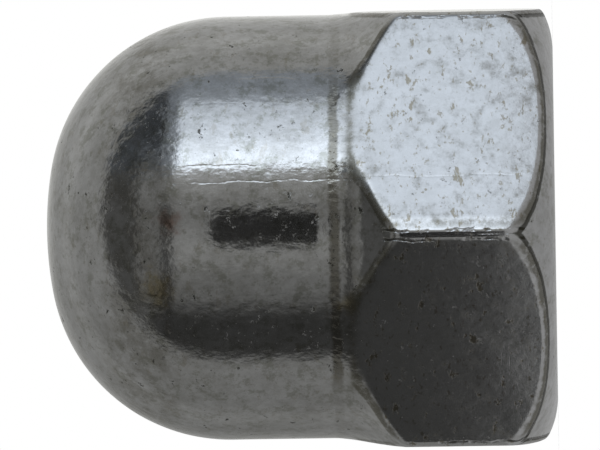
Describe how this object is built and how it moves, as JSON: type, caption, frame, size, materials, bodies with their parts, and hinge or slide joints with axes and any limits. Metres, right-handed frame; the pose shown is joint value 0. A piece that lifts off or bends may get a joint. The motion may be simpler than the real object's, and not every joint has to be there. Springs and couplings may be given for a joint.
{
  "type": "cap nut",
  "caption": "Hexagon cap nut with a closed domed end and a blind threaded bore, forged as a single piece, which covers the end of a bolt or stud.",
  "frame": {"origin": "centre of the flat bearing face, which the nut stands on", "axes": "+Z along the thread's axis from the bearing face to the dome's tip, +X out of one of the hexagon's flats, +Y towards one of its corners"},
  "size_m": [0.0126, 0.0146, 0.015],
  "materials": {
    "steel": "worn grey zinc plate over cold-forged steel"
  },
  "bodies": {
    "root": {"cap_nut": "steel"}
  },
  "joints": []
}
